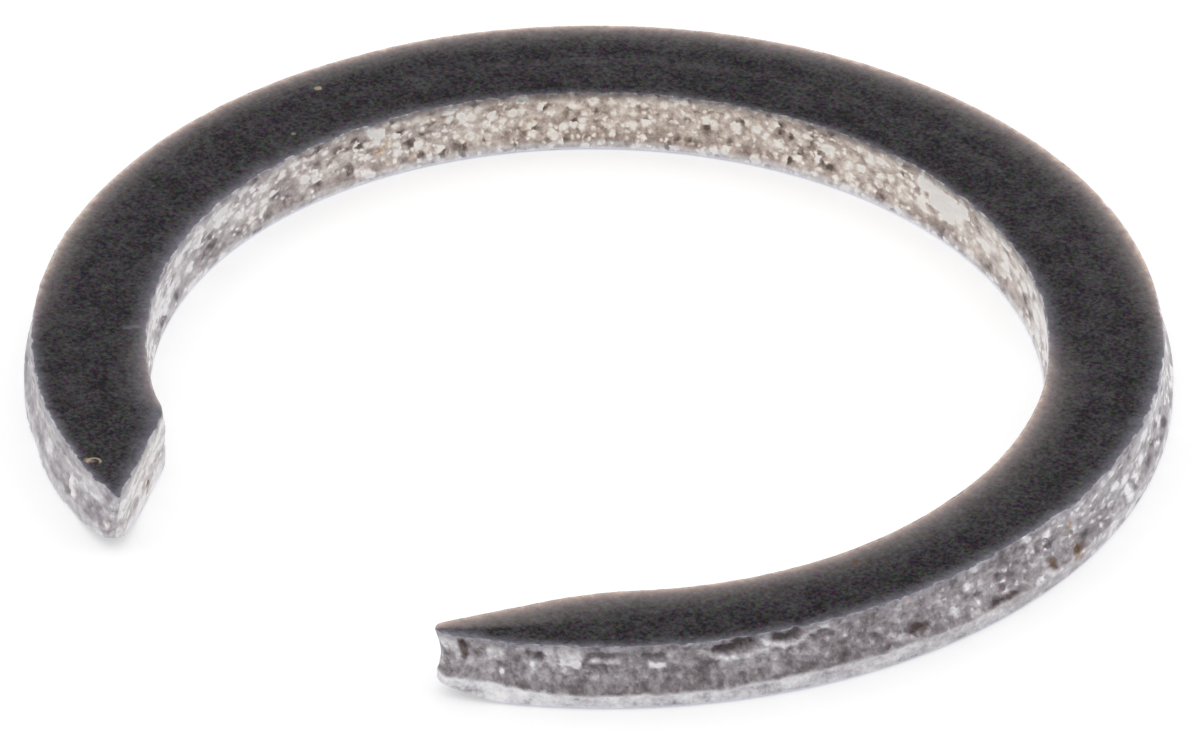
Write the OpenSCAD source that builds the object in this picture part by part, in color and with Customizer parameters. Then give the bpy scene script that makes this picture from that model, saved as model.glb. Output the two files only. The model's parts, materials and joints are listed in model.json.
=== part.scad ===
// Circlip retaining ring, stamped flat from spring steel strip, with no lugs and two pointed ends.
// It lies flat: the rolled lower edge of the stamping is down and the sharp upper edge is up.
// The origin is on the bore axis at the bottom face, and the gap between the ends faces -Y.

/* [Ring] */
// Diameter of the smooth band of the bore, which grips the groove of the shaft
bore_d = 16; // [14:0.1:24]
// Mean width of the ring between the smooth bands of its two walls
ring_w = 2.27; // [1.9:0.01:3.2]
// Thickness of the strip
ring_t = 1.2; // [1:0.05:1.6]
// Distance of the bore axis from the centre of the outer wall
bore_shift = 0.29; // [0:0.01:0.4]
// Bearing in which the bore is shifted, where the ring is narrowest
shift_bearing = 299; // [270:1:330]

/* [Ends] */
// Angle between the places where the two bevels cross the rim, seen from its centre
gap_angle = 36.2; // [28:0.1:46]
// Angle between the left bevel and the rim
left_bevel = 48.8; // [42:0.1:58]
// Angle between the right bevel and the rim
right_bevel = 40; // [38:0.1:54]
// Radius of the left point, seen from above
left_point_r = 0.2; // [0.18:0.01:0.4]
// Radius of the blunter right point
right_point_r = 0.33; // [0.18:0.01:0.4]
// Radius of the corner where the left bevel meets the bore
left_corner_r = 1; // [0.6:0.1:2]
// Radius of the softer corner where the right bevel meets the bore
right_corner_r = 6; // [1:0.1:7]
// Length of the slope that the rolled edge makes under the two points
nose_l = 0.5; // [0.35:0.05:0.8]
// Height of that slope at the very end of the points
nose_h = 0.32; // [0.25:0.01:0.5]

/* [Sheared walls] */
// Radius of the rolled lower edge
roll_r = 0.15; // [0.1:0.01:0.17]
// Height of the top of the smooth band above the bottom face
band_top = 0.36; // [0.28:0.02:0.6]
// Distance that the torn zone of the rim leans back at the top face, while that of the bevels is upright
rim_lean = 0.21; // [0.08:0.01:0.25]
// The same for the torn zone of the bore
bore_lean = 0.08; // [0.03:0.01:0.22]
// Depth of the hollow in the torn zone, below a straight slope
torn_hollow = 0.06; // [0.02:0.01:0.08]

/* [Hidden] */
$fn = 180;

bore_r = bore_d / 2;
outer_r = bore_r + ring_w;
// The gap is centred on this bearing
gap_bearing = 270;
// The torn zone is this many slopes, one above the other
torn_slopes = 4;
// The rounded corners meet the walls at this angle, so that each has an edge of its own
corner_edge = 8;
// Cuts run this far past the faces that they open
past = 1;
// A section cut into a wall reaches this far behind the smooth band
wall_depth = 2 * (roll_r + rim_lean);
// The centre of the outer wall, with the bore axis at the origin
blank_at = -bore_shift * bearing(shift_bearing);

left_end = bevelled_end(-1, left_bevel, left_corner_r, left_point_r);
right_end = bevelled_end(1, right_bevel, right_corner_r, right_point_r);

function bearing(a) = [cos(a), sin(a)];

function unit(v) = v / norm(v);

// An end is its side of the gap, -1 or 1, the direction of its bevel from bore to point, the place where
// the line of the bevel crosses the rim, and the radii of its corner at the bore and of its point
function bevelled_end(side, bevel, corner_r, point_r) =
    let (a = gap_bearing + side * gap_angle / 2)
    [side, bearing(a - side * (90 - bevel)), blank_at + outer_r * bearing(a), corner_r, point_r];

// The direction from a bevel into the gap
function into_gap(end) = end[0] * [end[1].y, -end[1].x];

// The place near an end that is the distance q behind its bevel and d from the place c
function place_behind(end, q, c, d) =
    let (
        start = end[2] - q * into_gap(end) - c,
        off = start - (start * end[1]) * end[1]
    )
    c + off + sqrt(d * d - off * off) * end[1];

// How far a rounded corner of radius r has its centre from the two walls
function behind_wall(r) = r * cos(corner_edge);

// The centre of the rounded corner between the bore and a bevel
function bore_corner(end) =
    place_behind(end, behind_wall(end[3]), [0, 0], bore_r + behind_wall(end[3]));

// The centre of the rounded point between the rim and a bevel, and the directions from it to the rim and
// straight ahead
function point_centre(end) =
    place_behind(end, behind_wall(end[4]), blank_at, outer_r - behind_wall(end[4]));
function to_rim(end) = unit(point_centre(end) - blank_at);
function ahead(end) = unit(to_rim(end) + into_gap(end));

// The section of a sheared wall that faces +X, solid from x = 0 to the smooth band at x = r: the rolled
// edge below, then the band, then the hollow torn zone, which leans back by lean at the top face
module wall_section(r, lean = 0) {
    difference() {
        square([r, ring_t]);
        difference() {
            translate([r - roll_r, -past])
                square([roll_r + past, roll_r + past]);
            translate([r - roll_r, roll_r])
                circle(r = roll_r);
        }
        polygon([
            [r + past, band_top],
            for (i = [0:torn_slopes])
                let (s = i / torn_slopes)
                [r - lean * s - 4 * torn_hollow * s * (1 - s), band_top + (ring_t - band_top) * s],
            [r - lean, ring_t + past],
            [r + past, ring_t + past]
        ]);
    }
}

// The section of the free space from x = 0 to a sheared wall at x = r that faces -X
module space_section(r, lean = 0) {
    difference() {
        translate([0, -past])
            square([r + wall_depth, ring_t + 2 * past]);
        translate([r + wall_depth, 0])
            mirror([1, 0])
                wall_section(wall_depth, lean);
    }
}

// The blank, a plain disc
module blank() {
    translate(blank_at)
        rotate_extrude()
            wall_section(outer_r, rim_lean);
}

module bore_cut() {
    rotate_extrude()
        space_section(bore_r, bore_lean);
}

// The space on the gap's side of one bevel, from well outside the rim to where its line is nearest to the
// bore axis
module bevel_cut(end) {
    inward = end[2] * end[1];
    n = into_gap(end);
    translate(end[2] + outer_r * n + (outer_r - inward) / 2 * end[1])
        rotate(atan2(-n.y, -n.x))
            rotate([90, 0, 0])
                linear_extrude(height = outer_r + inward, center = true)
                    space_section(outer_r);
}

module gap_cut() {
    intersection() {
        bevel_cut(left_end);
        bevel_cut(right_end);
    }
}

// What lies outside a rounded corner of radius r, between the directions a and b from its centre
module corner_cut(centre, r, a, b) {
    reach = r + past;
    translate(centre)
        difference() {
            translate([0, 0, -past])
                linear_extrude(height = ring_t + 2 * past)
                    polygon([[0, 0], reach * a, reach * (a + b) / (1 + a * b), reach * b]);
            rotate_extrude()
                wall_section(r);
        }
}

// What lies below the slope under a point
module nose_cut(end) {
    translate(point_centre(end) + end[4] * ahead(end))
        rotate(atan2(ahead(end).y, ahead(end).x))
            rotate([90, 0, 0])
                linear_extrude(height = 4 * nose_l, center = true)
                    polygon([[-2 * nose_l, -nose_h], [nose_l, 2 * nose_h], [nose_l, -nose_h]]);
}

// The blank with its bore and its gap
module open_blank() {
    difference() {
        difference() {
            blank();
            bore_cut();
        }
        gap_cut();
    }
}

// The same with its four corners rounded
module rounded_blank() {
    difference() {
        difference() {
            open_blank();
            for (end = [left_end, right_end])
                corner_cut(bore_corner(end), end[3], -unit(bore_corner(end)), into_gap(end));
        }
        for (end = [left_end, right_end])
            corner_cut(point_centre(end), end[4], to_rim(end), into_gap(end));
    }
}

module ring() {
    color("dimgray")
        difference() {
            rounded_blank();
            for (end = [left_end, right_end])
                nose_cut(end);
        }
}

ring();
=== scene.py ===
import json
from math import atan2, cos, degrees, pi, radians, sin

import bpy
import numpy as np
from mathutils import Matrix, Vector, noise


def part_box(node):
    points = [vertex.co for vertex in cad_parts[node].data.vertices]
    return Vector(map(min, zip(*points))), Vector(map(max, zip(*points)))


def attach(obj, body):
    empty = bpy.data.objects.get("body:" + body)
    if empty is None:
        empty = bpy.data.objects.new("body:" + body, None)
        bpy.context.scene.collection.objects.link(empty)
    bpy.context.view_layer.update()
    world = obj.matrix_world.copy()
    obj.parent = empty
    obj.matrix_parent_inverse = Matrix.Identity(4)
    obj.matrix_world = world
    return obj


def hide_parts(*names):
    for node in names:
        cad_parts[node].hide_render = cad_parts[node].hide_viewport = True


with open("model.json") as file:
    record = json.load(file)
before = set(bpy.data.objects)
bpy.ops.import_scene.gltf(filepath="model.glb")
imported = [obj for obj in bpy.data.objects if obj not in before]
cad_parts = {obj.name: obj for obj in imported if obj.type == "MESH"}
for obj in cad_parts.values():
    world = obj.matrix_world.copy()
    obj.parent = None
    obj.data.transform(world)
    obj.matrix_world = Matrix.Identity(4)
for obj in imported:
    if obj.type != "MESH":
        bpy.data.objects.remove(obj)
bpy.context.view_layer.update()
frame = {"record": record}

# The ring is drawn in millimetres and scaled by this when its mesh is made
mm = 0.001
print("frame loaded")


# Directions in the plane of the ring, by their bearing in degrees

def bearing(angle):
    return np.array([cos(radians(angle)), sin(radians(angle))])


def bearingOf(direction):
    return degrees(atan2(direction[1], direction[0]))


def unit(vector):
    return vector / np.linalg.norm(vector)


def rise(value, start, end):
    # 0 up to start, 1 from end on, with a soft step between
    share = np.clip((value - start) / (end - start), 0, 1)
    return share * share * (3 - 2 * share)


# What the frame says about the ring: the circle of its rim, its bore and its thickness

ringLow, ringHigh = (np.array(corner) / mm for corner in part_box("ring"))
rimRadius = (ringHigh[0] - ringLow[0]) / 2
rimCentre = np.array([(ringHigh[0] + ringLow[0]) / 2, ringHigh[1] - rimRadius])
thickness = ringHigh[2]
groove = next(mount for mount in frame["record"]["mounts"] if mount["name"] == "shaft_groove")
boreRadius = groove["dims"]["r_mm"]
boreCentre = np.zeros(2)


# The plan of the ring, seen from above

ringPlan = {
    "gapBearing": 270,
    "gapAngle": 36.2,      # between the two bevels where they cross the rim, seen from its centre
    "leftBevel": 48.8,     # degrees between the left bevel and the rim
    "rightBevel": 40,
    "leftPoint": 0.21,     # radius of the left point, at the smooth band
    "rightPoint": 0.308,
    "leftCorner": 1.0,     # radius where the left bevel meets the bore
    "rightCorner": 6.0,
    "arcPlaces": 3000,     # how finely each arc and each bevel is drawn
    "bevelPlaces": 500,
    "stations": 1200,      # steps of the mesh from one point to the other
    "crowding": 1.2,       # how much closer the steps are at the points
    "crowdReach": 3.5,     # mm from a point within which they are closer
    "fadeStations": 13,    # over how many the shape of the rim or the bore fades into that of the bevels
}


def arc(centre, radius, start, end, way, outward=1):
    # Places and outward normals along an arc, from one bearing to another, anticlockwise if way is 1
    end = start + way * ((way * (end - start)) % 360)
    turn = np.radians(np.linspace(start, end, ringPlan["arcPlaces"]))
    normal = np.stack([np.cos(turn), np.sin(turn)], 1)
    return centre + radius * normal, outward * normal


def behindBevel(rimPlace, along, intoGap, inset, centre, reach):
    # The place that is inset behind a bevel and at the distance reach from centre
    start = rimPlace - inset * intoGap - centre
    off = start - (start @ along) * along
    return centre + off + np.sqrt(reach ** 2 - off @ off) * along


def bevelledEnd(side, bevel, tip, cornerRadius, depths):
    # One end of the ring: side is -1 at the left point and 1 at the right one. The depths say how far the
    # rim, the bore and the bevels are behind their bands
    at = ringPlan["gapBearing"] + side * ringPlan["gapAngle"] / 2
    along = bearing(at - side * (90 - bevel))
    intoGap = side * np.array([along[1], -along[0]])
    rimPlace = rimCentre + rimRadius * bearing(at) - depths["bevels"][side > 0] * intoGap
    point = behindBevel(rimPlace, along, intoGap, tip, rimCentre, rimRadius - depths["rim"] - tip)
    corner = behindBevel(rimPlace, along, intoGap, cornerRadius, boreCentre,
                         boreRadius + depths["bore"] + cornerRadius)
    toRim = unit(point - rimCentre)
    return {"side": side, "point": point, "pointRadius": tip, "corner": corner,
            "cornerRadius": cornerRadius, "intoGap": intoGap, "toRim": toRim,
            "ahead": unit(toRim + intoGap)}


def pointArc(end, outer):
    # From the very point to the rim, or to the bevel
    target = end["toRim"] if outer else end["intoGap"]
    way = end["side"] if outer else -end["side"]
    return arc(end["point"], end["pointRadius"], bearingOf(end["ahead"]), bearingOf(target), way)


def bevelLine(end):
    # From the point to the corner at the bore
    share = np.linspace(0, 1, ringPlan["bevelPlaces"])[:, None]
    start = end["point"] + end["pointRadius"] * end["intoGap"]
    stop = end["corner"] + end["cornerRadius"] * end["intoGap"]
    return start + share * (stop - start), np.repeat(end["intoGap"][None], len(share), 0)


def cornerArc(end):
    return arc(end["corner"], end["cornerRadius"], bearingOf(end["intoGap"]), bearingOf(-end["corner"]),
               -end["side"])


def backwards(piece):
    return piece[0][::-1], piece[1][::-1]


def spacedOut(pieces, circle):
    # Stations along a row of pieces: places, outward normals, how far along they are, and how much each
    # belongs to the piece that is the rim or the bore
    places = np.concatenate([piece[0] for piece in pieces])
    normals = np.concatenate([piece[1] for piece in pieces])
    inCircle = np.concatenate([np.full(len(piece[0]), float(piece is circle)) for piece in pieces])
    along = np.concatenate([[0], np.cumsum(np.linalg.norm(np.diff(places, axis=0), axis=1))])
    reach = ringPlan["crowdReach"]
    weight = 1 + ringPlan["crowding"] * (np.exp(-(along / reach) ** 2)
                                         + np.exp(-((along[-1] - along) / reach) ** 2))
    share = np.concatenate([[0], np.cumsum(np.diff(along) * (weight[1:] + weight[:-1]) / 2)])
    stations = np.linspace(0, share[-1], ringPlan["stations"] + 1)

    def at(values):
        return np.interp(stations, share, values)

    place = np.stack([at(places[:, 0]), at(places[:, 1])], 1)
    normal = np.stack([at(normals[:, 0]), at(normals[:, 1])], 1)
    fade = ringPlan["fadeStations"]
    onCircle = np.convolve(np.pad(at(inCircle), fade // 2, "edge"), np.ones(fade) / fade, "valid")
    return {"place": place, "normal": normal / np.linalg.norm(normal, axis=1)[:, None],
            "along": at(along), "onCircle": onCircle}


def drawSides(depths, leftTip, rightTip):
    # The two ends and the two sides at one level of the walls
    left = bevelledEnd(-1, ringPlan["leftBevel"], leftTip, ringPlan["leftCorner"], depths)
    right = bevelledEnd(1, ringPlan["rightBevel"], rightTip, ringPlan["rightCorner"], depths)
    rim = arc(rimCentre, rimRadius - depths["rim"], bearingOf(left["toRim"]), bearingOf(right["toRim"]), -1)
    bore = arc(boreCentre, boreRadius + depths["bore"], bearingOf(left["corner"]),
               bearingOf(right["corner"]), -1, -1)
    outer = spacedOut([pointArc(left, True), rim, backwards(pointArc(right, True))], rim)
    inner = spacedOut([pointArc(left, False), bevelLine(left), cornerArc(left), bore,
                       backwards(cornerArc(right)), backwards(bevelLine(right)),
                       backwards(pointArc(right, False))], bore)
    return (left, right), {key: np.stack([outer[key], inner[key]]) for key in outer}


# The sheared walls. Heights are above the bottom face, and depths are behind the smooth band

wallShape = {
    "rolls": (0.09, 0.06),     # height of the rolled lower edge at the rim and in the bore
    "rollDepth": 0.2,          # how far it goes in at most
    "pointRoll": 0.11,         # how much higher it gets round the points
    "pointReach": 0.45,        # mm along the wall over which it does
    "bandTops": (0.36, 0.2),   # at the rim and in the bore
    "bandLeast": 0.04,         # how far the top of the band stays above the roll
    # Waves per mm and height of the waves in the top of the band, and of its notches
    "bandWaves": (1.3, 0.035),
    "bandNotches": (3.4, 0.03),
    # How far the walls are behind the plan, at the band and at the top face. The bevels are those of the
    # left and the right end
    "bandDepths": {"rim": 0, "bore": 0, "bevels": (-0.02, 0)},
    "topDepths": {"rim": 0.145, "bore": 0.015, "bevels": (-0.055, -0.1)},
    "topTips": (0.06, 0.252),  # radii of the points at the top face
    "hollow": 0.045,           # of the torn zone, behind a straight slope
    "waist": 0.068,            # how much hollower the right point is
    "waistReach": 0.4,
    "ledge": 0.012,            # step where the band ends
    "tear": 0.055,             # depth of the relief of the torn zone
    # Waves per mm of the relief, and how much of it each makes
    "relief": {"lumps": (2.6, 0.36), "crystals": (4.2, 0.4), "grit": (9, 0.26)},
    # Shares of the torn zone's height over which the relief comes in and fades, and what is left of it
    # below the upper edge and at the very top
    "reliefStart": (-0.02, 0.12),
    "reliefFade": (0.8, 1),
    "reliefLeft": (0.65, 0.35),
    "edgeRadius": 0.02,        # of the upper edge
    "edgeNicks": (2.6, 0.05),  # waves per mm and depth of its nicks on the side without the painted sheen
    "nickHeight": 0.12,        # how far down the nicks reach
    "wornTowards": 127.7,      # bearing of the side whose upper edges are smooth and painted with a pale sheen
    # Where the painted sheen starts and is full, and the same for the tear, as the cosine of the angle
    # between that bearing and the way that the wall faces
    "wornTurn": (-0.1, 0.3),
    "tearTurn": (0, 0.9),
    "leastTurn": 0.45,
    "noseLength": 1.2,         # of the slope under the points
    "noseHeight": 0.29,
    "noseSoftness": 0.04,
    "noseSpread": 0.03,        # how much of their spacing the rows keep where it lifts them
    "noseReach": (1.5, 0.6),   # mm from the very point and above the bottom face where it can lift them
    "topWaves": (2.2, 0.004),  # waves per mm of the top face, and how much lower it is in places
    "topDip": (0.002, 0.05),   # how much lower it is at its edges, and how far in from them
    "sharpAngle": 55,          # degrees from which an edge is shaded as sharp
    "rows": {"roll": 5, "band": 4, "torn": 18, "edge": 2},
    "faceShares": [0.012, 0.035, 0.08, 0.16, 0.28, 0.42, 0.58, 0.72, 0.84, 0.92, 0.965, 0.988],
    "underShares": [0.1, 0.35, 0.65, 0.9],
}

# The texture of the walls flows along them in mm, and starts at this in the bore and at 0 on the rim
boreFlow = 100.0

# What each kind of mark does: depth in mm, how much darker or lighter it is, how warm its colour is. The
# darkness of chips and dents is painted shade in their hollows, lips, whites and glare are painted
# highlights, the broad pale patches are painted light, and cream is a warm colour under a painted highlight
markKinds = {
    "chip": (0.06, -0.85, 0.0), "dent": (0.04, -0.5, 0.0), "lip": (-0.015, 0.7, 0.0),
    "white": (-0.01, 1.2, 0.1), "cream": (-0.01, 0.75, 0.8), "tan": (0.0, 0.1, 1.0),
    # A dark spot only darkens a place, warms it a little and sinks it by 0.01 mm
    "brown": (0.01, -0.5, 0.9), "dirt": (0.01, -0.7, 0.2), "fibre": (-0.03, 0.7, 0.8),
    "glare": (0.0, 1.9, -0.3), "haze": (0.0, 0.3, 0.0), "swell": (-0.04, 0.0, 0.0),
}

# How far a mark reaches from its line, and how far it is whole, in radii, and how ragged its border is
markBorder = {"reach": 1.45, "whole": 0.35, "ragged": 0.7}

# The marks that the photograph shows: kind, radius in mm, then places by bearing, reach and height
wallMarks = [
    ("chip", 0.09, (320.2, 9.79, 1.03), (322.1, 9.8, 1.06), (324.1, 9.8, 1.1)),
    ("lip", 0.05, (318.7, 9.79, 1.0), (320.1, 9.81, 0.89), (321.5, 9.83, 0.81), (323.2, 9.83, 0.84),
     (325.4, 9.82, 0.89)),
    ("chip", 0.08, (326.1, 9.8, 1.13), (327.2, 9.8, 1.06), (328.6, 9.81, 1.13)),
    ("lip", 0.05, (325.1, 9.8, 1.06), (327.4, 9.83, 0.89), (328.7, 9.82, 0.92), (329.8, 9.81, 1.05),
     (332.2, 9.82, 1.15)),
    ("dent", 0.06, (312.6, 9.78, 1.02), (315.0, 9.79, 0.99)),
    ("white", 0.06, (313.5, 9.81, 0.83), (314.6, 9.82, 0.8)),
    ("dent", 0.06, (307.2, 9.77, 1.03), (308.9, 9.77, 1.0), (310.6, 9.78, 1.06)),
    ("lip", 0.05, (307.3, 9.79, 0.92), (310.1, 9.8, 0.9)),
    ("lip", 0.13, (304.4, 9.78, 1.03), (305.7, 9.78, 1.02)),
    ("white", 0.05, (304.4, 9.8, 0.85), (306.0, 9.8, 0.85)),
    ("lip", 0.1, (303.0, 9.77, 1.1), (303.3, 9.79, 0.92)),
    ("dent", 0.07, (300.9, 9.77, 1.03), (302.1, 9.77, 1.0)),
    ("white", 0.05, (301.3, 9.81, 0.81)),
    ("white", 0.05, (298.3, 9.86, 0.64)),
    ("lip", 0.1, (297.2, 9.78, 0.99), (298.0, 9.78, 0.94)),
    ("lip", 0.1, (292.0, 9.77, 1.1), (293.0, 9.78, 0.98)),
    ("dirt", 0.06, (294.0, 9.77, 1.1), (294.3, 9.8, 0.86)),
    ("white", 0.08, (350.2, 9.99, 0.58)),
    ("cream", 0.07, (349.4, 9.91, 0.8)),
    ("lip", 0.04, (348.7, 9.96, 0.62), (348.8, 10.05, 0.43)),
    ("white", 0.07, (352.5, 10.09, 0.18)),
    ("dirt", 0.12, (351.9, 10.06, 0.43), (354.7, 10.1, 0.38)),
    ("cream", 0.06, (341.5, 9.84, 1.09)),
    ("fibre", 0.03, (341.3, 9.8, 1.2), (341.5, 9.84, 1.09)),
    ("cream", 0.08, (18.9, 10.22, 0.56)),
    ("cream", 0.05, (19.3, 10.1, 0.67)),
    ("white", 0.07, (27.2, 10.08, 0.72)),
    ("brown", 0.16, (4.9, 10.15, 0.42)),
    ("brown", 0.12, (0.9, 10.08, 0.47)),
    ("cream", 0.05, (359.4, 9.92, 0.99)),
    ("tan", 0.05, (4.8, 9.96, 0.91), (4.0, 9.97, 0.83)),
    ("dirt", 0.1, (341.9, 9.95, 0.59), (343.3, 9.98, 0.54)),
    ("fibre", 0.055, (241.6, 10.1, 0.43), (240.9, 10.08, 0.51), (240.2, 10.0, 0.63), (240.8, 9.92, 0.91),
     (242.2, 9.88, 1.19)),
    ("swell", 0.5, (233.5, 10.15, 0.3), (237.0, 10.1, 0.3)),
    ("swell", 0.28, (236.6, 8.17, 0.8)),
    ("cream", 0.07, (248.5, 10.02, 0.51)),
    ("cream", 0.06, (234.6, 10.14, 0.76)),
    ("glare", 0.09, (158.6, 8.11, 0.98), (157.4, 8.11, 0.94)),
    ("cream", 0.08, (157.6, 8.06, 0.55), (156.0, 8.09, 0.66)),
    ("cream", 0.06, (146.0, 8.03, 0.44), (145.0, 8.02, 0.41)),
    ("cream", 0.09, (136.5, 8.06, 0.55)),
    ("cream", 0.06, (139.1, 8.1, 0.8)),
    ("cream", 0.06, (142.2, 8.03, 0.45)),
    ("cream", 0.07, (153.4, 8.0, 0.35), (152.1, 8.0, 0.35)),
    ("cream", 0.06, (157.1, 8.0, 0.33), (155.7, 8.0, 0.31)),
    ("white", 0.07, (159.8, 8.0, 0.21), (158.7, 8.0, 0.19)),
    ("cream", 0.06, (169.2, 8.07, 0.61)),
    ("white", 0.09, (172.2, 8.0, 0.36)),
    ("cream", 0.09, (179.1, 8.01, 0.38)),
    ("dirt", 0.07, (162.1, 8.1, 0.83), (161.3, 8.11, 0.99)),
    ("lip", 0.05, (149.6, 8.0, 0.3), (147.6, 8.0, 0.28)),
    ("glare", 0.17, (80.6, 8.11, 0.95), (78.0, 8.11, 0.86), (75.0, 8.11, 0.8), (73.4, 8.1, 0.84)),
    ("glare", 0.12, (78.6, 8.08, 0.66), (75.6, 8.08, 0.6)),
    ("cream", 0.09, (81.5, 8.03, 0.5), (80.0, 8.03, 0.42)),
    ("white", 0.09, (53.2, 8.1, 0.82)),
    ("haze", 0.22, (50.5, 8.1, 0.8), (43.0, 8.08, 0.85)),
    ("white", 0.05, (97.2, 8.1, 0.75)),
    ("cream", 0.06, (137.3, 8.04, 0.46)),
    ("white", 0.08, (184.4, 8.09, 1.0), (186.6, 8.1, 0.96)),
    ("haze", 0.24, (183.5, 8.1, 0.9), (189.6, 8.1, 0.9), (192.3, 8.11, 0.85)),
    ("haze", 0.26, (196.6, 8.11, 0.8), (199.1, 8.09, 0.65), (207.0, 8.05, 0.6)),
    ("white", 0.07, (180.6, 8.09, 0.68)),
    ("white", 0.07, (176.1, 8.1, 0.83)),
    ("swell", 0.7, (196.0, 10.33, 0.2), (210.0, 10.27, 0.2), (222.0, 10.2, 0.2)),
    ("dirt", 0.07, (98.9, 8.03, 0.45)),
    ("dirt", 0.07, (113.9, 8.08, 0.62)),
    ("cream", 0.07, (244.2, 9.02, 0.47)),
    ("brown", 0.06, (241.9, 8.72, 0.4), (242.6, 8.81, 0.2)),
]

# What changes round the ring, by bearing: first what the finish shows, then what shapes the walls
paintedTones = ("pale", "sparkle", "tan", "shine", "burr", "frost")
toneNames = paintedTones + ("lean", "lift")
wallTones = {
    # the first tone after the bearing is painted light on the torn zone, lighter where the walls turn
    # side-on to the left and right, sparkle is how strongly its painted glints show and tan how tan it is,
    # shine is a painted sheen on the band, burr is how much the band looks torn, frost is how far a pale
    # edge reaches over the face, lean is how much further back the top is and lift how much higher the band
    # gets, both in mm
    "rim": [(-90, 0.1, 0.3, 0, 0.8, 0.2, 1.5, 0, 0.1), (-66.5, 0.06, 0.25, 0, 0.9, 0.1, 1.2, 0, 0.1),
            (-62.5, 0.05, 0.25, 0, 0.95, 0, 0.1, 0, 0.08), (-57, 0.03, 0.25, 0, 0.85, 0, 0.1, 0, -0.04),
            (-49, 0.0, 0.25, 0, 0.6, 0, 0.1, 0, -0.07), (-40, 0.0, 0.25, 0, 0.5, 0, 0.1, 0.01, -0.04),
            (-32, 0.0, 0.3, 0, 0.5, 0.1, 0.2, 0.03, 0), (-20, 0.02, 0.4, 0, 0.45, 0.2, 0.35, 0.07, 0),
            (-8, 0.05, 0.6, 0, 0.35, 0.3, 0.4, 0.13, 0), (0, 0.07, 0.7, 0, 0.3, 0.5, 0.4, 0.14, 0),
            (7, 0.11, 0.8, 0, 0.3, 0.6, 0.45, 0.05, 0), (12, 0.13, 0.8, 0, 0.3, 0.7, 0.45, 0.04, 0),
            (25, 0.18, 0.8, 0, 0.5, 0.8, 0.4, 0, 0), (38, 0.3, 0.8, 0, 0.5, 0.8, 0.3, 0, 0),
            (45, 0.3, 0.8, 0, 0.5, 0.8, 0.1, 0.04, 0), (90, 0.2, 0.8, 0, 0.4, 0.5, 0, 0.03, 0),
            (115, 0.2, 0.8, 0, 0.4, 0.5, 0, 0, 0), (145, 0.2, 0.8, 0, 0.4, 0.5, 0, 0.01, 0),
            (155, 0.2, 0.6, 0, 0.4, 0.5, 0, 0.05, 0), (185, 0.25, 0.3, 0, 0.6, 0.6, 0, 0.05, 0),
            (200, 0.25, 0.15, 0, 0.6, 0.6, 0, 0, 0), (218, 0.23, 0.1, 0, 0.6, 0.8, 0, -0.07, 0),
            (228, 0.23, 0.1, 0, 0.6, 0.9, 0, -0.12, 0), (245, 0.22, 0.25, 0, 0.7, 0.9, 0, -0.11, 0),
            (251, 0.2, 0.3, 0, 0.7, 0.8, 0, -0.03, 0), (270, 0.1, 0.3, 0, 1.0, 0, 0.1, 0, 0.1)],
    "bore": [(-90, 0.1, 0.5, 0.3, 0.6, 0.5, 0.3, 0, 0), (0, 0.1, 0.8, 0.3, 0.6, 0.8, 0.3, 0, 0),
             (7, 0.1, 0.8, 0.22, 0.6, 0.8, 0.3, 0.03, 0), (28, 0.22, 0.8, 0.2, 0.6, 0.8, 0.3, 0.04, 0),
             (40, 0.4, 0.8, 0.2, 0.8, 0.9, 0.5, 0, 0), (50, 0.32, 0.9, 0.3, 0.6, 0.9, 0.3, 0, 0),
             (60, 0.22, 1.0, 0.5, 0.6, 0.9, 0, 0, 0), (95, 0.14, 1.0, 0.75, 0.6, 0.9, 0, 0, 0),
             (130, 0.11, 1.0, 0.85, 0.6, 0.9, 0, 0, 0), (165, 0.15, 1.0, 0.45, 0.6, 0.9, 0.45, 0, 0),
             (180, 0.18, 1.0, 0.2, 0.7, 0.9, 0.7, 0, 0), (195, 0.2, 0.9, 0.05, 0.7, 0.9, 0.75, 0, 0),
             (215, 0.27, 0.8, 0.05, 0.7, 0.9, 0.7, 0, 0), (232, 0.34, 0.6, 0.1, 0.7, 0.9, 1.2, 0.05, 0),
             (240, 0.37, 0.6, 0.2, 0.7, 0.8, 0.5, 0, 0), (270, 0.2, 0.6, 0.1, 0.7, 0.3, 0.1, 0, 0)],
}


# How fast the finer waves of the noise get weaker and closer
waveFade, waveStep = 0.9, 2.1


def field(places, scale, octaves=1, shift=0):
    # Smooth noise from -1 to 1 at each place, with scale waves per millimetre. Each shift gives another one
    flat = (places * scale + shift).reshape(-1, 3)
    if octaves == 1:
        values = [noise.noise(place) for place in flat]
    else:
        values = [noise.fractal(place, waveFade, waveStep, octaves) for place in flat]
    return np.array(values).reshape(places.shape[:-1])


def crystals(places, scale, shift=0):
    # 0 along the borders of irregular cells, and up to about 1 inside them
    flat = (places * scale + shift).reshape(-1, 3)
    near = np.array([noise.voronoi(place)[0][:2] for place in flat])
    return (near[:, 1] - near[:, 0]).reshape(places.shape[:-1])


def raised(flatPlaces, height):
    return np.concatenate([flatPlaces, np.full(flatPlaces.shape[:-1] + (1,), height)], -1)


def nearMark(places, radius, points, ragged):
    # 1 close to the line through the points, and softly down to 0 at its ragged border
    ends = [np.append(reach * bearing(angle), height) for angle, reach, height in points]
    gap = np.full(places.shape[:-1], np.inf)
    for start, stop in zip(ends, ends[1:] or ends):
        span = stop - start
        share = np.clip((places - start) @ span / max(span @ span, 1e-9), 0, 1)
        gap = np.minimum(gap, np.linalg.norm(places - start - share[..., None] * span, axis=-1))
    border = markBorder
    return rise(-gap - ragged * radius * border["ragged"], -border["reach"] * radius,
                -border["whole"] * radius)


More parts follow.
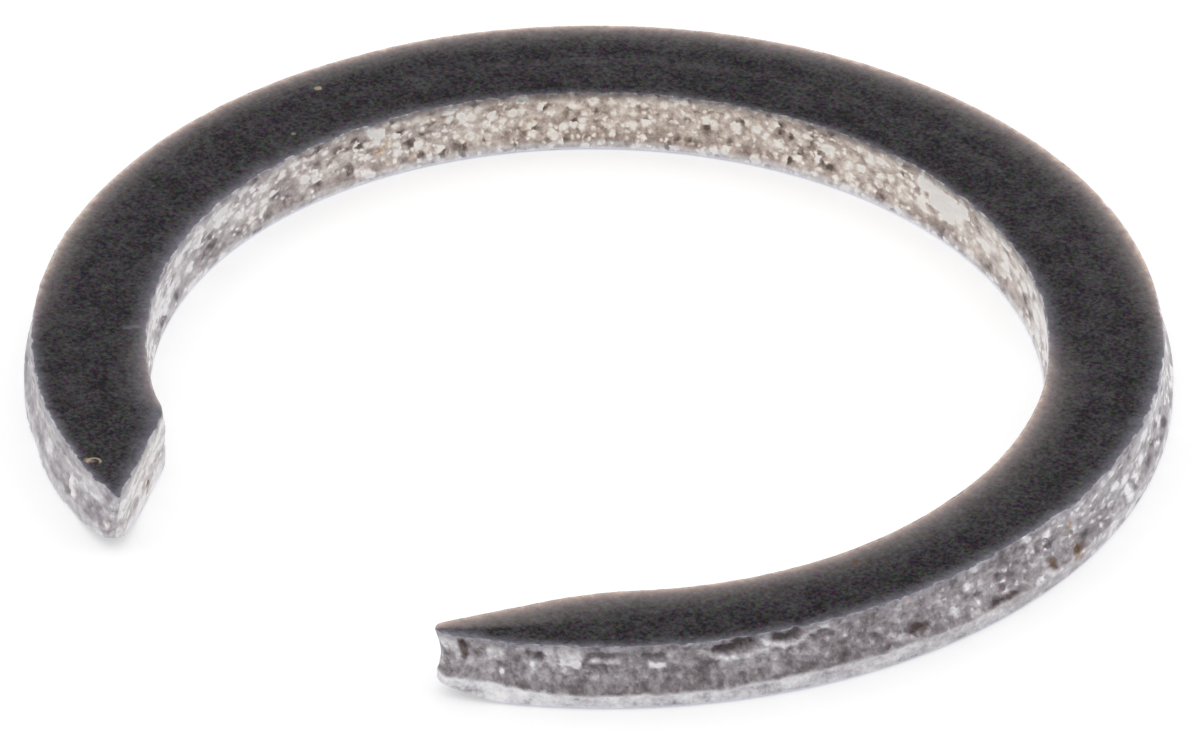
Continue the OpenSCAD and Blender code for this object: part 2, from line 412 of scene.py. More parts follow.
def marked(places):
    # How much the marks of the photo deepen, lighten and warm each place, where much of the lightening and
    # darkening is painted highlight and shade
    total = np.zeros((3,) + places.shape[:-1])
    ragged = field(places, 6, 2, shift=51)
    for kind, radius, *points in wallMarks:
        share = nearMark(places, radius, points, ragged)
        deeper, lighter, warmer = markKinds[kind]
        total += np.stack([deeper * share, lighter * share, warmer * share])
    return total


def toneAt(place, name):
    # A value of wallTones at the stations of both sides
    angle = (np.degrees(np.arctan2(place[..., 1], place[..., 0])) + 90) % 360 - 90
    column = toneNames.index(name) + 1
    tones = [np.array(wallTones[side]) for side in ("rim", "bore")]
    return np.stack([np.interp(angle[side], tones[side][:, 0], tones[side][:, column]) for side in (0, 1)])


def stackRows(roll, bandTop, waist, onCircle):
    # Heights, depths, how torn each row is and how far it has leaned, from the bottom face up
    shape, rows = wallShape, wallShape["rows"]
    topHeight = thickness - shape["edgeRadius"]
    rollDepth = np.minimum(roll, shape["rollDepth"])
    heights, depths, torn = [], [], []
    for row in range(rows["roll"]):
        turn = row / rows["roll"] * pi / 2
        heights.append(roll * (1 - cos(turn)))
        depths.append(rollDepth * (1 - sin(turn)))
        torn.append(0 * roll)
    for row in range(rows["band"]):
        heights.append(roll + (bandTop - roll) * row / rows["band"])
        depths.append(0 * roll)
        torn.append(0 * roll)
    below, above = shape["reliefLeft"]
    for row in range(rows["torn"] + 1):
        share = row / rows["torn"]
        heights.append(bandTop + (topHeight - bandTop) * share)
        depths.append(4 * (shape["hollow"] * onCircle + waist) * share * (1 - share)
                      + shape["ledge"] * min(1, 3 * share))
        fade = 1 - (1 - below) * rise(share, *shape["reliefFade"])
        torn.append(np.full_like(roll, rise(share, *shape["reliefStart"]) * fade))
    for row in range(1, rows["edge"] + 1):
        turn = row / rows["edge"] * pi / 2
        heights.append(topHeight + shape["edgeRadius"] * sin(turn) + 0 * roll)
        depths.append(shape["ledge"] + shape["edgeRadius"] * (1 - cos(turn)) + 0 * roll)
        torn.append(np.full_like(roll, below - (below - above) * row / rows["edge"]))
    leaned = [0] * (rows["roll"] + rows["band"])
    leaned += [row / rows["torn"] for row in range(rows["torn"] + 1)] + [1] * rows["edge"]
    return *(np.stack(values, -1) for values in (heights, depths, torn)), np.array(leaned)[None, None]


def tornRelief(flow, height):
    # 1 where the torn zone stands out and 0 in its pits
    flat = np.stack([flow[..., None] + 0 * height, height, 0 * height], -1)
    (lumpScale, lumps), (cellScale, cells), (gritScale, grit) = wallShape["relief"].values()
    grain = (0.5 + lumps * field(flat, lumpScale, 3, shift=11)
             + cells * (crystals(flat, cellScale, shift=5) - 0.35)
             + grit * field(flat, gritScale, 2, shift=21))
    return np.clip(grain, 0, 1)


def buildWalls():
    # Both walls at every station and row: their places, and what the finish needs to know of them
    shape = wallShape
    place, normal, along, onCircle = (bandSides[key] for key in ("place", "normal", "along", "onCircle"))
    toPoint = np.minimum(along, along[:, -1:] - along)
    nearPoint = np.exp(-(toPoint / shape["pointReach"]) ** 2)
    onBore = onCircle * np.array([[0.0], [1.0]])
    base = raised(place, 0.0)
    rimRoll, boreRoll = shape["rolls"]
    rimBand, boreBand = shape["bandTops"]
    (waveScale, waves), (notchScale, notches) = shape["bandWaves"], shape["bandNotches"]
    bandTop = (rimBand + (boreBand - rimBand) * onBore + toneAt(place, "lift")
               + waves * field(base, waveScale, shift=7) + notches * field(base, notchScale, 2, shift=3))
    roll = rimRoll + (boreRoll - rimRoll) * onBore + shape["pointRoll"] * nearPoint
    bandTop = np.maximum(bandTop, roll + shape["bandLeast"])
    waist = shape["waist"] * np.exp(-((along[:, -1:] - along) / shape["waistReach"]) ** 2)
    away = normal @ bearing(shape["wornTowards"])
    facing = np.clip(np.abs(away), shape["leastTurn"], 1)

    # The texture of a wall flows along it, and is longer where the wall runs towards the worn side
    steps = np.diff(along, axis=1) * (facing[:, 1:] + facing[:, :-1]) / 2
    flow = np.concatenate([np.zeros((2, 1)), np.cumsum(steps, 1)], 1) + np.array([[0.0], [boreFlow]])

    height, depth, torn, leaned = stackRows(roll, bandTop, waist, onCircle)
    depth = depth + toneAt(place, "lean")[..., None] * leaned

    def spotsAt(depth):
        share = leaned[..., None]
        level = [bandSides[key][:, :, None] * (1 - share) + topSides[key][:, :, None] * share
                 for key in ("place", "normal")]
        return np.concatenate([level[0] - depth[..., None] * level[1], height[..., None]], -1)

    grain = tornRelief(flow, height)
    nickScale, nickDepth = shape["edgeNicks"]
    nicks = nickDepth * np.clip(0.5 + 0.7 * field(base, nickScale, 3, shift=31), 0, 1)
    nicks = nicks * rise(-away, *shape["wornTurn"])
    nearEdge = rise(height, thickness - shape["nickHeight"], thickness)
    tear = shape["tear"] * rise(facing, *shape["tearTurn"])
    depth = depth + torn * tear[..., None] * (1 - grain) + nicks[..., None] * nearEdge

    deeper, shade, warm = marked(spotsAt(depth))
    alike = {name: toneAt(place, name) for name in paintedTones}
    # The first is a painted sheen on the upper edges that face one bearing
    alike |= {"worn": rise(away, *shape["wornTurn"]), "flow": flow, "under": 0 * flow}
    return {"places": spotsAt(depth + deeper), "grain": grain, "tornUp": height - bandTop[..., None],
            "edgeGap": height - thickness, "shade": shade, "warm": warm,
            **{name: values[..., None] + 0 * height for name, values in alike.items()}}


(leftEnd, rightEnd), bandSides = drawSides(wallShape["bandDepths"], ringPlan["leftPoint"],
                                            ringPlan["rightPoint"])
topSides = drawSides(wallShape["topDepths"], *wallShape["topTips"])[1]
print("plan drawn: rim", round(bandSides["along"][0, -1], 2), "mm, bore and bevels",
      round(bandSides["along"][1, -1], 2), "mm")
walls = buildWalls()
print("walls torn")


def between(shares, height, scale, wobble):
    # Places across a face from the outer wall to the inner one, at shares of its width, and how far they
    # are from the two
    row = -1 if height > 0 else 0
    outer, inner = walls["places"][0, :, row], walls["places"][1, :, row]
    share = np.array(shares)[None, :, None]
    places = outer[:, None] * (1 - share) + inner[:, None] * share
    width = np.linalg.norm(outer - inner, axis=1)[:, None]
    gaps = share[..., 0] * width, (1 - share[..., 0]) * width
    places[..., 2] = height - wobble * (0.5 + 0.5 * field(places, scale, 2, shift=41))
    return places, gaps


def liftNose(places):
    # The slope that the rolled edge makes under the two points
    shape = wallShape
    reach, highest = shape["noseReach"]
    soft = shape["noseSoftness"]
    for end in (leftEnd, rightEnd):
        apex = end["point"] + end["pointRadius"] * end["ahead"]
        fromApex = apex - places[:, :2]
        behind = fromApex @ end["ahead"]
        close = (np.linalg.norm(fromApex, axis=1) < reach) & (places[:, 2] < highest)
        slope = shape["noseHeight"] * (1 - behind / shape["noseLength"])
        over = slope + shape["noseSpread"] * places[:, 2] - places[:, 2]
        blend = np.clip(0.5 + over / (2 * soft), 0, 1)
        raisedBy = over * blend + soft * blend * (1 - blend)
        places[:, 2] += np.where(close, np.maximum(raisedBy, 0), 0)
    return places


def ringLoops():
    # The sections of the ring, one at each station, and the marks at all their places. A section is a loop:
    # up the outer wall, across the top, down the inner wall and back underneath
    flip = slice(None, None, -1)
    dip, dipReach = wallShape["topDip"]
    top, topGaps = between(wallShape["faceShares"], thickness, *wallShape["topWaves"])
    under, underGaps = between(wallShape["underShares"], 0.0, 1.0, 0.0)
    topGap = np.minimum(*topGaps)
    top[..., 2] -= dip * rise(-topGap, -dipReach, 0)
    loops = np.concatenate([walls["places"][0], top, walls["places"][1][:, flip], under[:, flip]], 1)

    _, topShade, topWarm = marked(top)
    onTop = {"edgeGap": topGap, "shade": topShade, "warm": topWarm}
    below = {"edgeGap": np.minimum(*underGaps), "under": 1.0, "tornUp": -0.4, "shade": 0.0, "warm": 0.0,
             "worn": 0.0}
    nearRim = np.array(wallShape["faceShares"]) < 0.5
    marks = {}
    for name, (outer, inner) in walls.items():
        if name != "places":
            above = onTop.get(name, np.where(nearRim, outer[:, -1:], inner[:, -1:]))
            beneath = below.get(name, outer[:, -1:]) + np.zeros(under.shape[:2])
            marks[name] = np.concatenate([outer, above, inner[:, flip], beneath], 1)
    return loops, marks


# The bake's map: each side of the ring is cut into strips of equal length, which lie one above the other
bakeMap = {
    # How many strips there are, and how tall each is on the map
    "wall": (4, 0.086),
    "top": (2, 0.094),
    "under": (2, 0.045),
    "margin": 0.002,
    "firstShelf": 0.003,
}


def facesBetween(index, sides):
    # Faces between neighbouring loops, and the place of each of their corners on the bake's map
    margin = bakeMap["margin"]
    shelf = bakeMap["firstShelf"]
    steps, size = index.shape[0] - 1, index.shape[1]
    faces, mapCorners = [], []
    for start, stop, side in sides:
        count, tall = bakeMap[side]
        perStrip = steps // count
        for station in range(steps):
            strip = min(station // perStrip, count - 1)
            low = shelf + strip * tall
            across = [(station - strip * perStrip + step) / perStrip * (1 - 2 * margin) + margin
                      for step in (0, 1)]
            for row in range(start, stop):
                after = (row + 1) % size
                ups = [low + (tall - 2 * margin) * (at - start) / (stop - start) for at in (row, row + 1)]
                around = [(station, row, across[0], ups[0]), (station, after, across[0], ups[1]),
                          (station + 1, after, across[1], ups[1]), (station + 1, row, across[1], ups[0])]
                face, faceMap = [], []
                for at, part, u, v in around:
                    vertex = int(index[at, part])
                    if vertex not in face:
                        face.append(vertex)
                        faceMap.append((u, v))
                if len(face) > 2:
                    faces.append(face)
                    mapCorners.extend(faceMap)
        shelf += count * tall
    return faces, mapCorners


def buildRing():
    loops, marks = ringLoops()
    stations, size = loops.shape[:2]
    wallRows = walls["places"].shape[2]
    topStart = wallRows
    innerStart = topStart + len(wallShape["faceShares"])
    underStart = innerStart + wallRows

    # At the two points the inner wall meets the outer one, so both use the same places
    index = np.arange(stations * size).reshape(stations, size)
    for station in (0, stations - 1):
        index[station, topStart:innerStart] = index[station, wallRows - 1]
        index[station, innerStart:underStart] = index[station, :wallRows][::-1]
        index[station, underStart:] = index[station, 0]
    faces, mapCorners = facesBetween(index, [(0, topStart - 1, "wall"), (topStart - 1, innerStart, "top"),
                                             (innerStart, underStart - 1, "wall"),
                                             (underStart - 1, size, "under")])
    used = np.unique(index)
    renumber = dict(zip(used.tolist(), range(len(used))))
    faces = [[renumber[vertex] for vertex in face] for face in faces]
    places = liftNose(loops.reshape(-1, 3)[used])
    mesh = bpy.data.meshes.new("ringBody")
    mesh.from_pydata((places * mm).tolist(), [], faces)
    layer = mesh.uv_layers.new(name="OFBake")
    layer.uv.foreach_set("vector", np.array(mapCorners, np.float32).ravel())
    for name, values in marks.items():
        attribute = mesh.attributes.new(name, "FLOAT", "POINT")
        attribute.data.foreach_set("value", values.reshape(-1)[used].astype(np.float32))
    mesh.shade_smooth()
    mesh.set_sharp_from_angle(angle=radians(wallShape["sharpAngle"]))
    mesh.update()
    ring = bpy.data.objects.new("ringBody", mesh)
    bpy.context.scene.collection.objects.link(ring)
    print("ring built:", sum(len(face) - 2 for face in faces), "triangles")
    return ring


# Shader maths as expressions: a Wire is a value in a material, and operators on it add nodes

class Wire:
    def __init__(self, paint, socket):
        self.paint, self.socket = paint, socket

    def math(self, operation, first, second=0.0):
        return self.paint.add("Math", {"operation": operation}, {0: first, 1: second})

    def __add__(self, other):
        return self.math("ADD", self, other)

    def __sub__(self, other):
        return self.math("SUBTRACT", self, other)

    def __rsub__(self, other):
        return self.math("SUBTRACT", other, self)

    def __mul__(self, other):
        return self.math("MULTIPLY", self, other)

    def __truediv__(self, other):
        return self.math("DIVIDE", self, other)

    def __abs__(self):
        return self.math("ABSOLUTE", self)

    __radd__ = __add__
    __rmul__ = __mul__

    def atLeast(self, other):
        return self.math("MAXIMUM", self, other)

    def atMost(self, other):
        return self.math("MINIMUM", self, other)

    def step(self, start, end):
        # 0 below start and 1 above end, softly
        limits = {"From Min": min(start, end), "From Max": max(start, end),
                  "To Min": float(start > end), "To Max": float(start < end)}
        return self.paint.add("MapRange", {"interpolation_type": "SMOOTHSTEP"}, {"Value": self, **limits})


class Paint:
    def __init__(self, tree):
        self.tree = tree
        tree.nodes.clear()

    def add(self, kind, settings=None, values=None, result=0):
        node = self.tree.nodes.new("ShaderNode" + kind)
        for name, setting in (settings or {}).items():
            if name == "stops":
                self.fillRamp(node.color_ramp, setting)
            else:
                setattr(node, name, setting)
        for name, value in (values or {}).items():
            if isinstance(value, Wire):
                self.tree.links.new(value.socket, node.inputs[name])
            else:
                node.inputs[name].default_value = value
        return Wire(self, node.outputs[result]) if len(node.outputs) else None

    def fillRamp(self, ramp, stops):
        while len(ramp.elements) < len(stops):
            ramp.elements.new(0.5)
        for element, (place, colour) in zip(ramp.elements, stops):
            element.position = place
            element.color = tint(colour)

    def ramp(self, value, stops):
        return self.add("ValToRGB", {"stops": stops}, {"Fac": value})

    def mix(self, share, first, second, way="MIX"):
        # Colours are given as wires or as hex text
        settings = {"data_type": "RGBA", "blend_type": way, "clamp_result": True}
        colours = [tint(colour) if isinstance(colour, str) else colour for colour in (first, second)]
        return self.add("Mix", settings, {"Factor": share, 6: colours[0], 7: colours[1]}, 2)

    def mark(self, name):
        return self.add("Attribute", {"attribute_name": name}, result="Fac")

    def cells(self, place, scale):
        # Crystals: the tone of each, from 0 to 1, and how far away its middle is
        reach = self.add("TexVoronoi", {}, {"Vector": place, "Scale": scale})
        colour = Wire(self, reach.socket.node.outputs["Color"])
        return self.add("SeparateColor", {}, {"Color": colour}), reach

    def far(self, place, spot):
        # The distance of a place from a spot on the top face
        return self.add("VectorMath", {"operation": "DISTANCE"}, {0: place, 1: (*spot, thickness)}, "Value")

    def noise(self, place, scale, detail=2.0, roughness=0.5):
        return self.add("TexNoise", {}, {"Vector": place, "Scale": scale, "Detail": detail,
                                         "Roughness": roughness})


def tint(hexText):
    # A colour as screens show it, turned into the linear numbers that shaders use
    shown = [int(hexText[at:at + 2], 16) / 255 for at in (1, 3, 5)]
    return tuple(c / 12.92 if c < 0.04045 else ((c + 0.055) / 1.055) ** 2.4 for c in shown) + (1.0,)


# The steel: black phosphate on the two faces, a burnished band and a torn zone on the walls

steelLook = {
    # Colours across the face by the distance from an edge in mm: beside the edges that carry no sheen, and
    # beside those with a painted pale tan sheen
    "face": [(0.0, "#706e78"), (0.06, "#5f5d65"), (0.12, "#504e54"), (0.2, "#413f43"), (0.32, "#2f2c2f"),
             (0.5, "#282528"), (0.9, "#2c292c")],
    "faceAway": [(0.0, "#dac5b8"), (0.05, "#b7a59b"), (0.1, "#9d8d88"), (0.2, "#7b7272"), (0.3, "#686262"),
                 (0.4, "#5a5555"), (0.6, "#434041"), (1.0, "#2c292c")],
    "torn": [(0.12, "#4f484a"), (0.36, "#7a7376"), (0.55, "#a29ca0"), (0.76, "#cbc7ca"), (1.05, "#f8f6f8")],
    "tornTan": [(0.12, "#655850"), (0.36, "#a39286"), (0.55, "#cdbcb0"), (0.76, "#eee1d3"),
                (1.0, "#fffaf2")],
    "band": [(0.2, "#858088"), (0.5, "#bcb8bd"), (0.8, "#ebe8ed")],
    # The band under a painted sheen
    "bandBright": [(0.2, "#aba7ae"), (0.5, "#e9e7eb"), (0.8, "#ffffff")],
    # A painted reflection of the floor on the bottom of the roll
    "rollTint": "#f2f3ff",
    # A painted edge highlight: the pale line under the upper edges
    "edge": "#a9a7b2",
    "creep": "#5a565c",
    "warm": "#b08f62",
    # The colour of the lighter marks on the face, painted highlights among them
    "light": "#d8d2cc",
    "fibre": "#a8957c",
    # Noises along the walls and through the steel: waves per mm, detail and roughness
    "wallNoises": {"coarse": (2.4, 2, 0.5), "middle": (6.0, 3, 0.55), "fine": (15, 3, 0.6)},
    "noises": {"dust": (30, 2, 0.6), "cloud": (5.0, 3, 0.6), "clouds": (1.6, 4, 0.65),
               "grain": (12, 3, 0.7)},
    "crumbs": 5.4,             # large crystals per mm
    "grit": 10.0,              # and small ones
    "wander": (9.0, 0.12),     # waves per mm and mm by which their borders wander
    # How strongly the crystals show as painted glints, and the dark ones as painted shade in pits
    "flecks": {"crumbs": 0.56, "grit": 0.44, "pits": 0.32},
    "tone": 0.49,              # how light the torn zone is on the whole
    "crisp": {"middle": 0.62, "spread": 1.3, "becomes": 0.59},  # the tones of the bore are further apart
    "clouded": 0.035,          # how strongly the clouds, the grain and the tints show
    "grained": 0.07,
    "tinted": 0.035,
    "tints": 15.0,             # waves per mm
    "metal": 0.45,             # of the bare walls, where they aren't bright
    "bandRoughness": 0.45,
    "tornRougher": 0.08,
    "faceRougher": 0.25,
    "bumpDepth": 0.022,
    "bumpStrength": 0.6,
    "specular": 0.15,
    # The fibre on the face is part of a circle: its middle, radius and thickness, and the part that shows
    "hook": {"middle": (-4.49, -8.705), "radius": 0.12, "thin": 0.03, "shown": (-4.56, -8.62),
             "reach": 0.2},
    # Specks on the top face: colour, radius in mm, bearing and reach
    "specks": [("#a39880", 0.09, 160.0, 9.64), ("#7d7768", 0.06, 167.8, 8.64),
               ("#5e4a3e", 0.13, 340.4, 8.44), ("#57525a", 0.07, 216.5, 8.44),
               ("#5e5861", 0.08, 216.4, 8.36), ("#665f68", 0.09, 216.3, 8.27),
               ("#6c656e", 0.09, 216.2, 8.18)],
}


class SteelPaint(Paint):
    # The paint of the steel, with the places, marks and noises that all its parts share
    def __init__(self, tree):
        super().__init__(tree)
        local = self.add("TexCoord", result="Object")
        self.place = self.add("VectorMath", {"operation": "SCALE"}, {0: local, "Scale": 1 / mm})
        level = self.add("SeparateXYZ", {}, {0: self.place}, "Z")
        self.onWall = self.add("CombineXYZ", {}, {"X": self.mark("flow"), "Y": level})
        self.noises = {}
        for where, kinds in ((self.onWall, "wallNoises"), (self.place, "noises")):
            for name, values in steelLook[kinds].items():
                self.noises[name] = self.noise(where, *values)
        self.gap, self.up, self.tan = (self.mark(name) for name in ("edgeGap", "tornUp", "tan"))

    def uneven(self, **shares):
        # Noises round their middle, each by its own share, added up
        parts = [(self.noises[name] - 0.5) * share for name, share in shares.items()]
        return sum(parts[1:], parts[0])


def blackFace(paint):
    # Black phosphate, which pales towards its edges, and a painted pale tan sheen along the edges on one
    # side
    frost = paint.mark("frost")
    softGap = paint.gap + paint.uneven(cloud=0.16, dust=0.08) + paint.tan * 0.07
    face = paint.ramp(softGap / (0.7 + frost), steelLook["face"])
    faceAway = paint.ramp(softGap * (1.3 - paint.tan * 1.3), steelLook["faceAway"])
    # Painted sheen: pale tan along the edges that face one bearing
    face = paint.mix(paint.mark("worn") * (1 - frost * 0.5).step(0, 1), face, faceAway)
    return paint.mix(steelLook["clouded"], face, paint.noises["clouds"], "LINEAR_LIGHT")


def tornSteel(paint, tone, tanTone, tanShare):
    # Torn steel is grey, and warmer where it is tan
    return paint.mix(tanShare, paint.ramp(tone, steelLook["torn"]),
                     paint.ramp(tanTone, steelLook["tornTan"]))


def tornTone(paint):
    # How light the torn zone is, with its lumps, crystals and marks, painted shade in its pits, painted
    # highlights on its ridges and painted glints on bright crystals, and the grit that its bumps need
    look = steelLook
    scale, reach = look["wander"]
    wander = paint.add("TexNoise", {}, {"Vector": paint.onWall, "Scale": scale, "Detail": 1.0}, "Color")
    bent = paint.add("VectorMath", {"operation": "SCALE"}, {0: wander, "Scale": reach})
    bent = paint.add("VectorMath", {}, {0: paint.onWall, 1: bent})
    crumbs, crumbReach = paint.cells(bent, look["crumbs"])
    grit, gritReach = paint.cells(bent, look["grit"])
    # Painted glints on bright crystals, and painted shade on dark ones
    flecks = (crumbs.step(0.45, 0.95) * crumbReach.step(0.75, 0) * look["flecks"]["crumbs"]
              + grit.step(0.5, 0.95) * gritReach.step(0.7, 0) * look["flecks"]["grit"]
              - crumbs.step(0.4, 0.1) * crumbReach.step(0.7, 0) * look["flecks"]["pits"])
    patches = (paint.noises["coarse"] + paint.uneven(middle=0.6)).step(0.38, 0.56)
    blotch = (1 - paint.up.step(0.02, 0.3)) * patches
    tone = look["tone"] + paint.uneven(coarse=0.3, middle=0.55, fine=0.3, dust=0.15)
    # The relief paints shade in the pits and highlights on the ridges, and the next tone paints light where
    # the walls turn side-on
    tone = tone + (paint.mark("grain") - 0.5) * 0.36 + paint.mark("pale") + paint.mark("shade") * 0.45
    return tone + flecks * (paint.mark("sparkle") * 1.1 + 0.1) - blotch * 0.15, grit


def smoothBand(paint, tone):
    # The band, whose roll shines at the bottom with a painted reflection of the white floor, and which is
    # torn too in places
    mottle = paint.uneven(coarse=0.9, middle=0.9, fine=0.4, dust=0.2) + 0.54
    # shine mixes in a painted sheen on the band
    band = paint.mix(paint.mark("shine"), paint.ramp(mottle, steelLook["band"]),
                     paint.ramp(mottle, steelLook["bandBright"]))
    paler = tone + 0.16 + paint.tan * 0.1
    band = paint.mix(paint.mark("burr"), band, tornSteel(paint, paler, paler, paint.tan * 0.3))
    # Painted reflection of the floor along the bottom of the roll
    return paint.mix((paint.gap + thickness).step(0.1, 0.04) * 0.85, band, steelLook["rollTint"])


def underEdge(paint, wall):
    # A pale line in places under the upper edge, a painted edge highlight, and the black of the face that
    # creeps over it
    edge = (paint.gap + paint.uneven(middle=0.3, fine=0.2)).step(-0.12, -0.01)
    patchy = paint.noises["coarse"].step(0.4, 0.6) * 0.5 + 0.1
    # Paints the edge highlight, weaker where the wall is tan
    wall = paint.mix(edge * patchy * (1 - paint.tan * 0.8), wall, steelLook["edge"])
    creep = (paint.gap + paint.uneven(middle=0.25, fine=0.2)).step(-0.2, 0.02)
    inBore = paint.mark("flow").step(0.8 * boreFlow, 0.9 * boreFlow)
    return paint.mix(creep * (paint.tan * 0.5 + inBore * 0.25 + 0.1), wall, steelLook["creep"])


def markedSteel(paint, colour, faceShare):
    # The marks lighten the face, partly with painted highlights and partly with the pale colour of the fibre
    # and the cream specks, and warm the face and the walls
    light = (paint.mark("shade") * faceShare * 0.6).atLeast(0.0)
    colour = paint.mix(light, colour, steelLook["light"])
    warmed = paint.mix(1.0, colour, steelLook["warm"], "OVERLAY")
    warmed = paint.mix(faceShare * 0.4, warmed, steelLook["warm"])
    return paint.mix(paint.mark("warm") * 0.7, colour, warmed)


def dustySteel(paint, colour):
    # A dust fibre that hooks over the edge near the left point, and specks on the face
    hook = steelLook["hook"]
    fibre = abs(paint.far(paint.place, hook["middle"]) - hook["radius"])
    fibre = fibre.step(hook["thin"], 0.4 * hook["thin"])
    shown = paint.far(paint.place, hook["shown"]).step(hook["reach"], 0.8 * hook["reach"])
    colour = paint.mix(fibre * shown * 0.8, colour, steelLook["fibre"])
    for speck, radius, angle, reach in steelLook["specks"]:
        gap = paint.far(paint.place, (reach * bearing(angle)).tolist()) + paint.uneven(fine=radius)
        colour = paint.mix(gap.step(radius, radius * 0.4) * 0.8, colour, speck)
    return colour


def steelFinish():
    look = steelLook
    material = bpy.data.materials.new("stampedSteel")
    material.use_nodes = True
    paint = SteelPaint(material.node_tree)
    noises = paint.noises
    tone, grit = tornTone(paint)
    crisp = (tone - look["crisp"]["middle"]) * look["crisp"]["spread"] + look["crisp"]["becomes"]
    torn = tornSteel(paint, tone, crisp, paint.tan)

    # The band is below and the torn zone above it, and the black face has a ragged border
    tornShare = (paint.up + paint.uneven(fine=0.06, middle=0.1)).step(-0.035, 0.04)
    wall = underEdge(paint, paint.mix(tornShare, smoothBand(paint, tone), torn))
    faceShare = (paint.gap + paint.uneven(fine=0.07, middle=0.14, coarse=0.06)).step(-0.015, 0.02)
    faceShare = faceShare.atLeast(paint.mark("under").step(0.1, 0.4))
    colour = paint.mix(faceShare, wall, blackFace(paint))
    colour = dustySteel(paint, markedSteel(paint, colour, faceShare))
    colour = paint.mix(look["grained"], colour, noises["grain"], "LINEAR_LIGHT")
    tints = paint.add("TexNoise", {}, {"Vector": paint.place, "Scale": look["tints"]}, "Color")
    colour = paint.mix(look["tinted"], colour, tints, "LINEAR_LIGHT")

    metallic = (1 - faceShare) * (look["metal"] - tone.step(0.85, 1.2) * look["metal"])
    roughness = faceShare * look["faceRougher"] + tornShare * look["tornRougher"] + look["bandRoughness"]
    wallHeight = noises["fine"] * 0.4 + noises["middle"] * 0.3 + grit * tornShare * 0.4
    height = wallHeight * (1 - faceShare) + noises["dust"] * faceShare * 0.5
    bump = paint.add("Bump", {}, {"Height": height, "Distance": look["bumpDepth"] * mm,
                                  "Strength": look["bumpStrength"]})
    shader = paint.add("BsdfPrincipled", {}, {"Base Color": colour, "Roughness": roughness,
                                              "Metallic": metallic, "Normal": bump,
                                              "Specular IOR Level": look["specular"]})
    paint.add("OutputMaterial", {}, {"Surface": shader})
    return material


ring = buildRing()
ring.data.materials.append(steelFinish())
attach(ring, "root")
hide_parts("ring")
print("ring finished")


# The stage: a white floor that keeps the ring's shadow, and soft studio light

stageLook = {
    "floorSize": 3.0,        # metres
    "floorWhite": 0.62,      # how much light the floor throws back
    "floorGlow": 0.42,       # what the background adds where it is seen
    "worldLight": 0.55,      # share of the plain level that comes from all round
    "lamps": [
        # name, bearing, elevation, distance in metres, size in metres, share of the plain level
        ("leftBox", 215, 38, 0.35, 0.30, 0.22),
        ("rightBox", 40, 38, 0.35, 0.30, 0.22),
        ("backBox", 128, 55, 0.35, 0.34, 0.26),
        ("topBox", 308, 72, 0.40, 0.30, 0.16),
    ],
}


def seenDirectly(paint):
    # 1 for rays that come from the camera, a mirror or glass, so that they all see the background
    rays = [paint.add("LightPath", result=name) for name in
            ("Is Camera Ray", "Is Glossy Ray", "Is Transmission Ray")]
    return (rays[0] + rays[1] + rays[2]).atMost(1.0)


def buildFloor():
    half = stageLook["floorSize"] / 2
    mesh = bpy.data.meshes.new("floor")
    mesh.from_pydata([(-half, -half, 0), (half, -half, 0), (half, half, 0), (-half, half, 0)], [],
                     [(0, 1, 2, 3)])
    floor = bpy.data.objects.new("floor", mesh)
    bpy.context.scene.collection.objects.link(floor)
    paper = bpy.data.materials.new("whitePaper")
    paper.use_nodes = True
    paint = Paint(paper.node_tree)
    white = stageLook["floorWhite"]
    matte = paint.add("BsdfDiffuse", {}, {"Color": (white, white, white, 1)})
    glow = paint.add("Emission", {}, {"Strength": seenDirectly(paint) * stageLook["floorGlow"]})
    both = paint.add("AddShader", {}, {0: matte, 1: glow})
    paint.add("OutputMaterial", {}, {"Surface": both})
    mesh.materials.append(paper)


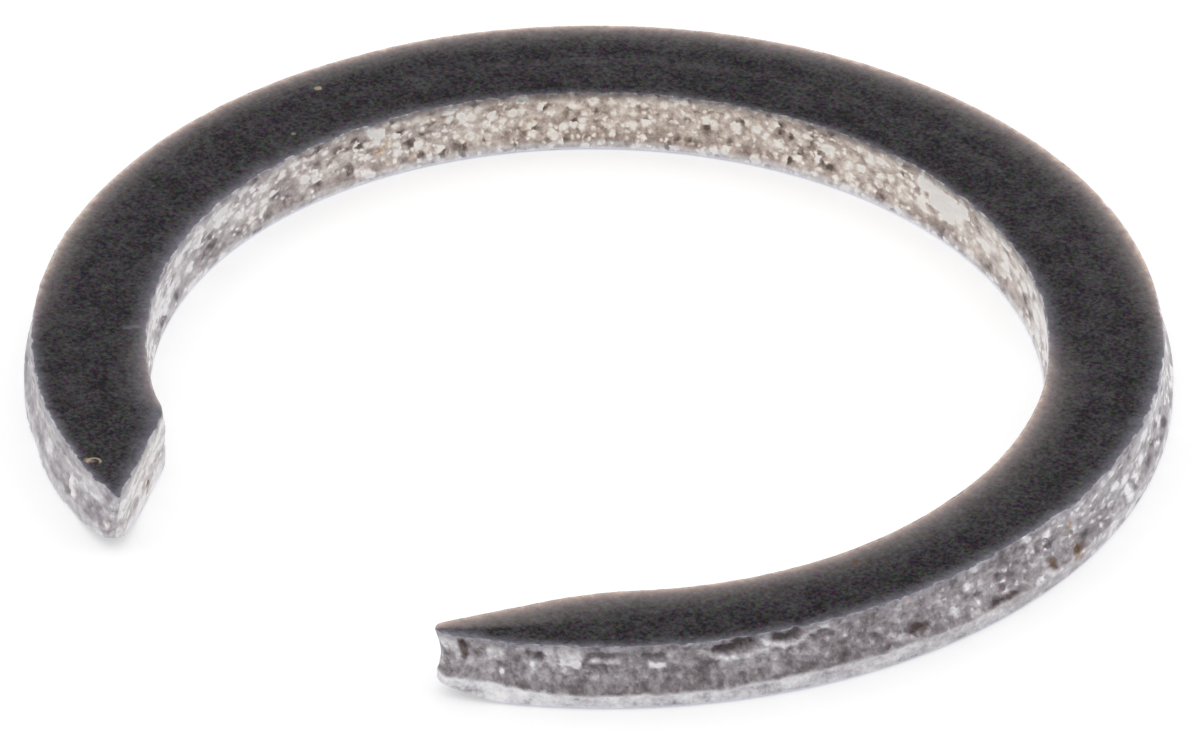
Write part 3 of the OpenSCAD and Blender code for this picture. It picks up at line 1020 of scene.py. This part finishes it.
def lightWorld():
    world = bpy.data.worlds.new("softRoom")
    bpy.context.scene.world = world
    world.use_nodes = True
    paint = Paint(world.node_tree)
    soft = stageLook["worldLight"]
    strength = seenDirectly(paint) * (1 - soft) + soft
    sky = paint.add("Background", {}, {"Color": (1, 1, 1, 1), "Strength": strength})
    paint.add("OutputWorld", {}, {"Surface": sky})


def hangLamps():
    for name, angle, elevation, distance, size, level in stageLook["lamps"]:
        data = bpy.data.lights.new(name, "AREA")
        data.shape = "SQUARE"
        data.size = size
        data.energy = level * pi * pi * distance ** 2
        lamp = bpy.data.objects.new(name, data)
        bpy.context.scene.collection.objects.link(lamp)
        away = Vector((*(cos(radians(elevation)) * bearing(angle)), sin(radians(elevation))))
        lamp.location = away * distance
        lamp.rotation_euler = away.to_track_quat("Z", "Y").to_euler()


# The camera stands where the photograph was taken from

cameraView = {
    "bearing": 307.7,
    "elevation": 33.6,
    "distance": 300.9,       # mm from the centre of the rim
    "lens": 503.8,
    "sensor": 36,
    "tilt": 0.5,             # degrees, anticlockwise
    "aimRight": 0.004,       # mm that the aim lies beside and above the centre of the rim
    "aimUp": 0.292,
}


def placeCamera():
    view = cameraView
    outward = np.append(cos(radians(view["elevation"])) * bearing(view["bearing"]),
                        sin(radians(view["elevation"])))
    level = np.append(bearing(view["bearing"] + 90), 0)
    upward = np.cross(outward, level)
    turn = radians(view["tilt"])
    right = cos(turn) * level + sin(turn) * upward
    upward = np.cross(outward, right)
    aim = np.append(rimCentre, 0) + view["aimRight"] * right + view["aimUp"] * upward
    eye = (aim + view["distance"] * outward) * mm
    data = bpy.data.cameras.new("photoView")
    data.lens = view["lens"]
    data.sensor_width = view["sensor"]
    data.clip_start, data.clip_end = 0.01, 20
    camera = bpy.data.objects.new("photoView", data)
    axes = np.eye(4)
    axes[:3, 0], axes[:3, 1], axes[:3, 2], axes[:3, 3] = right, upward, outward, eye
    camera.matrix_world = Matrix(axes.tolist())
    bpy.context.scene.collection.objects.link(camera)
    bpy.context.scene.camera = camera


buildFloor()
lightWorld()
hangLamps()
placeCamera()
bpy.context.scene.view_settings.view_transform = "Standard"
print("stage set")
